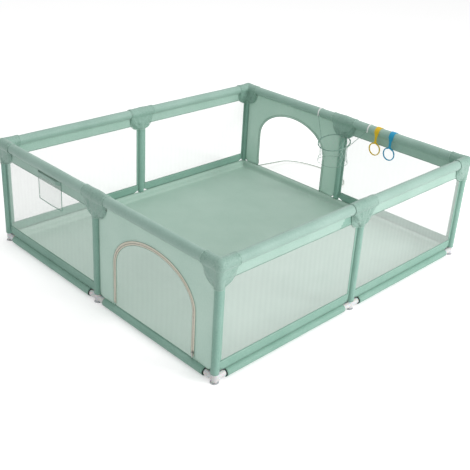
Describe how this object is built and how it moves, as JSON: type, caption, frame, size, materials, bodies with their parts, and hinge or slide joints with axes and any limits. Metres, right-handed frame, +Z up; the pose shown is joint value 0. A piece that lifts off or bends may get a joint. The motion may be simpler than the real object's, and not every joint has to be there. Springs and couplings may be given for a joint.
{
  "type": "playpen",
  "caption": "Large square playpen with padded rails, sheer mesh sides, arched zip doors, a mesh pocket, pull rings and a small ball hoop.",
  "frame": {"origin": "centre of the floor mat's underside, on the ground plane", "axes": "+Z up; the front side faces -Y, the right side with the open door faces +X, the back +Y, the left -X"},
  "size_m": [2.4783, 1.8836, 0.6502],
  "materials": {
    "steel_tube": "satin white-grey powder coat",
    "zip_metal": "satin",
    "foam": "matt closed-cell foam",
    "dark_plastic": "moulded matt",
    "milky_plastic": "moulded, slightly translucent",
    "clear_rubber": "soft translucent",
    "green_fabric": "woven polyester, padded",
    "green_cap_fabric": "woven polyester, gathered",
    "green_mat": "coated woven polyester",
    "sheer_mesh": "fine knitted mesh",
    "cream_tape": "woven zip tape",
    "yellow_plastic": "moulded gloss",
    "blue_plastic": "moulded gloss",
    "white_plastic": "moulded gloss",
    "green_plastic": "moulded gloss",
    "green_cord": "braided cord",
    "net": "knotted net"
  },
  "bodies": {
    "playpen": {"post_front_left": "steel_tube", "post_front_right": "steel_tube", "post_back_right": "steel_tube", "post_back_left": "steel_tube", "middle_posts": "steel_tube", "top_rails_front": "steel_tube", "base_rails_front": "steel_tube", "rail_pads_front": "foam", "rail_covers_front": "green_cap_fabric", "base_sleeves_front": "green_fabric", "top_rails_right": "steel_tube", "base_rails_right": "steel_tube", "rail_pads_right": "foam", "rail_covers_right": "green_cap_fabric", "base_sleeves_right": "green_fabric", "top_rails_back": "steel_tube", "base_rails_back": "steel_tube", "rail_pads_back": "foam", "rail_covers_back": "green_cap_fabric", "base_sleeves_back": "green_fabric", "top_rails_left": "steel_tube", "base_rails_left": "steel_tube", "rail_pads_left": "foam", "rail_covers_left": "green_cap_fabric", "base_sleeves_left": "green_fabric", "corner_connectors": "dark_plastic", "tee_connectors": "dark_plastic", "base_corner_connectors": "milky_plastic", "base_tee_connectors": "milky_plastic", "suction_feet": "clear_rubber", "corner_post_sleeves": "green_fabric", "middle_post_sleeves": "green_fabric", "corner_caps": "green_cap_fabric", "middle_caps": "green_cap_fabric", "windows_front": "sheer_mesh", "windows_back": "sheer_mesh", "window_right": "sheer_mesh", "window_left": "sheer_mesh", "storage_pocket": "sheer_mesh", "floor_mat": "green_mat", "pull_strap_yellow": "yellow_plastic", "pull_strap_blue": "blue_plastic", "hoop_hooks": "white_plastic", "door_panel_left": "green_fabric", "door_zip_left": "cream_tape", "door_panel_right": "green_fabric", "door_zip_right": "cream_tape"},
    "door_left": {"door_flap_left": "sheer_mesh", "flap_zip_left": "cream_tape"},
    "door_right": {"door_flap_right": "sheer_mesh", "flap_zip_right": "cream_tape"},
    "slider_left": {"zip_slider_left": "zip_metal"},
    "slider_right": {"zip_slider_right": "zip_metal"},
    "tab_left": {"zip_tab_left": "zip_metal"},
    "tab_right": {"zip_tab_right": "zip_metal"},
    "ring_yellow": {"pull_ring_yellow": "yellow_plastic"},
    "ring_blue": {"pull_ring_blue": "blue_plastic"},
    "hoop": {"hoop_cords": "green_cord", "hoop_ring": "green_plastic", "hoop_net": "net"}
  },
  "joints": [
    {"name": "left_door_hinge", "type": "hinge", "parent": "playpen", "child": "door_left", "pos_m": [-1, -0.455, 0.0504], "axis": [0, -1, 0], "range_deg": [0, 95]},
    {"name": "right_door_hinge", "type": "hinge", "parent": "playpen", "child": "door_right", "pos_m": [1, 0.455, 0.0504], "axis": [0, 1, 0], "range_deg": [-95.98, 0]},
    {"name": "left_zip_slide", "type": "slide", "parent": "playpen", "child": "slider_left", "axis": [0, 0, 1], "range_m": [0, 0.2]},
    {"name": "right_zip_slide", "type": "slide", "parent": "playpen", "child": "slider_right", "axis": [0, 0, 1], "range_m": [0, 0.2]},
    {"name": "left_tab_hinge", "type": "hinge", "parent": "slider_left", "child": "tab_left", "pos_m": [-1.0097, -0.76185, 0.088], "axis": [0, 1, 0], "range_deg": [-5, 150]},
    {"name": "right_tab_hinge", "type": "hinge", "parent": "slider_right", "child": "tab_right", "pos_m": [1.0097, 0.76185, 0.088], "axis": [0, -1, 0], "range_deg": [-5, 150]},
    {"name": "yellow_ring_hinge", "type": "hinge", "parent": "playpen", "child": "ring_yellow", "pos_m": [0.96905, -0.28, 0.548], "axis": [0, 1, 0], "range_deg": [-15, 80]},
    {"name": "blue_ring_hinge", "type": "hinge", "parent": "playpen", "child": "ring_blue", "pos_m": [0.96905, -0.392, 0.548], "axis": [0, 1, 0], "range_deg": [-15, 80]},
    {"name": "hoop_hinge", "type": "hinge", "parent": "playpen", "child": "hoop", "pos_m": [0.96855, 0, 0.601], "axis": [0, 1, 0], "range_deg": [0, 60]}
  ]
}
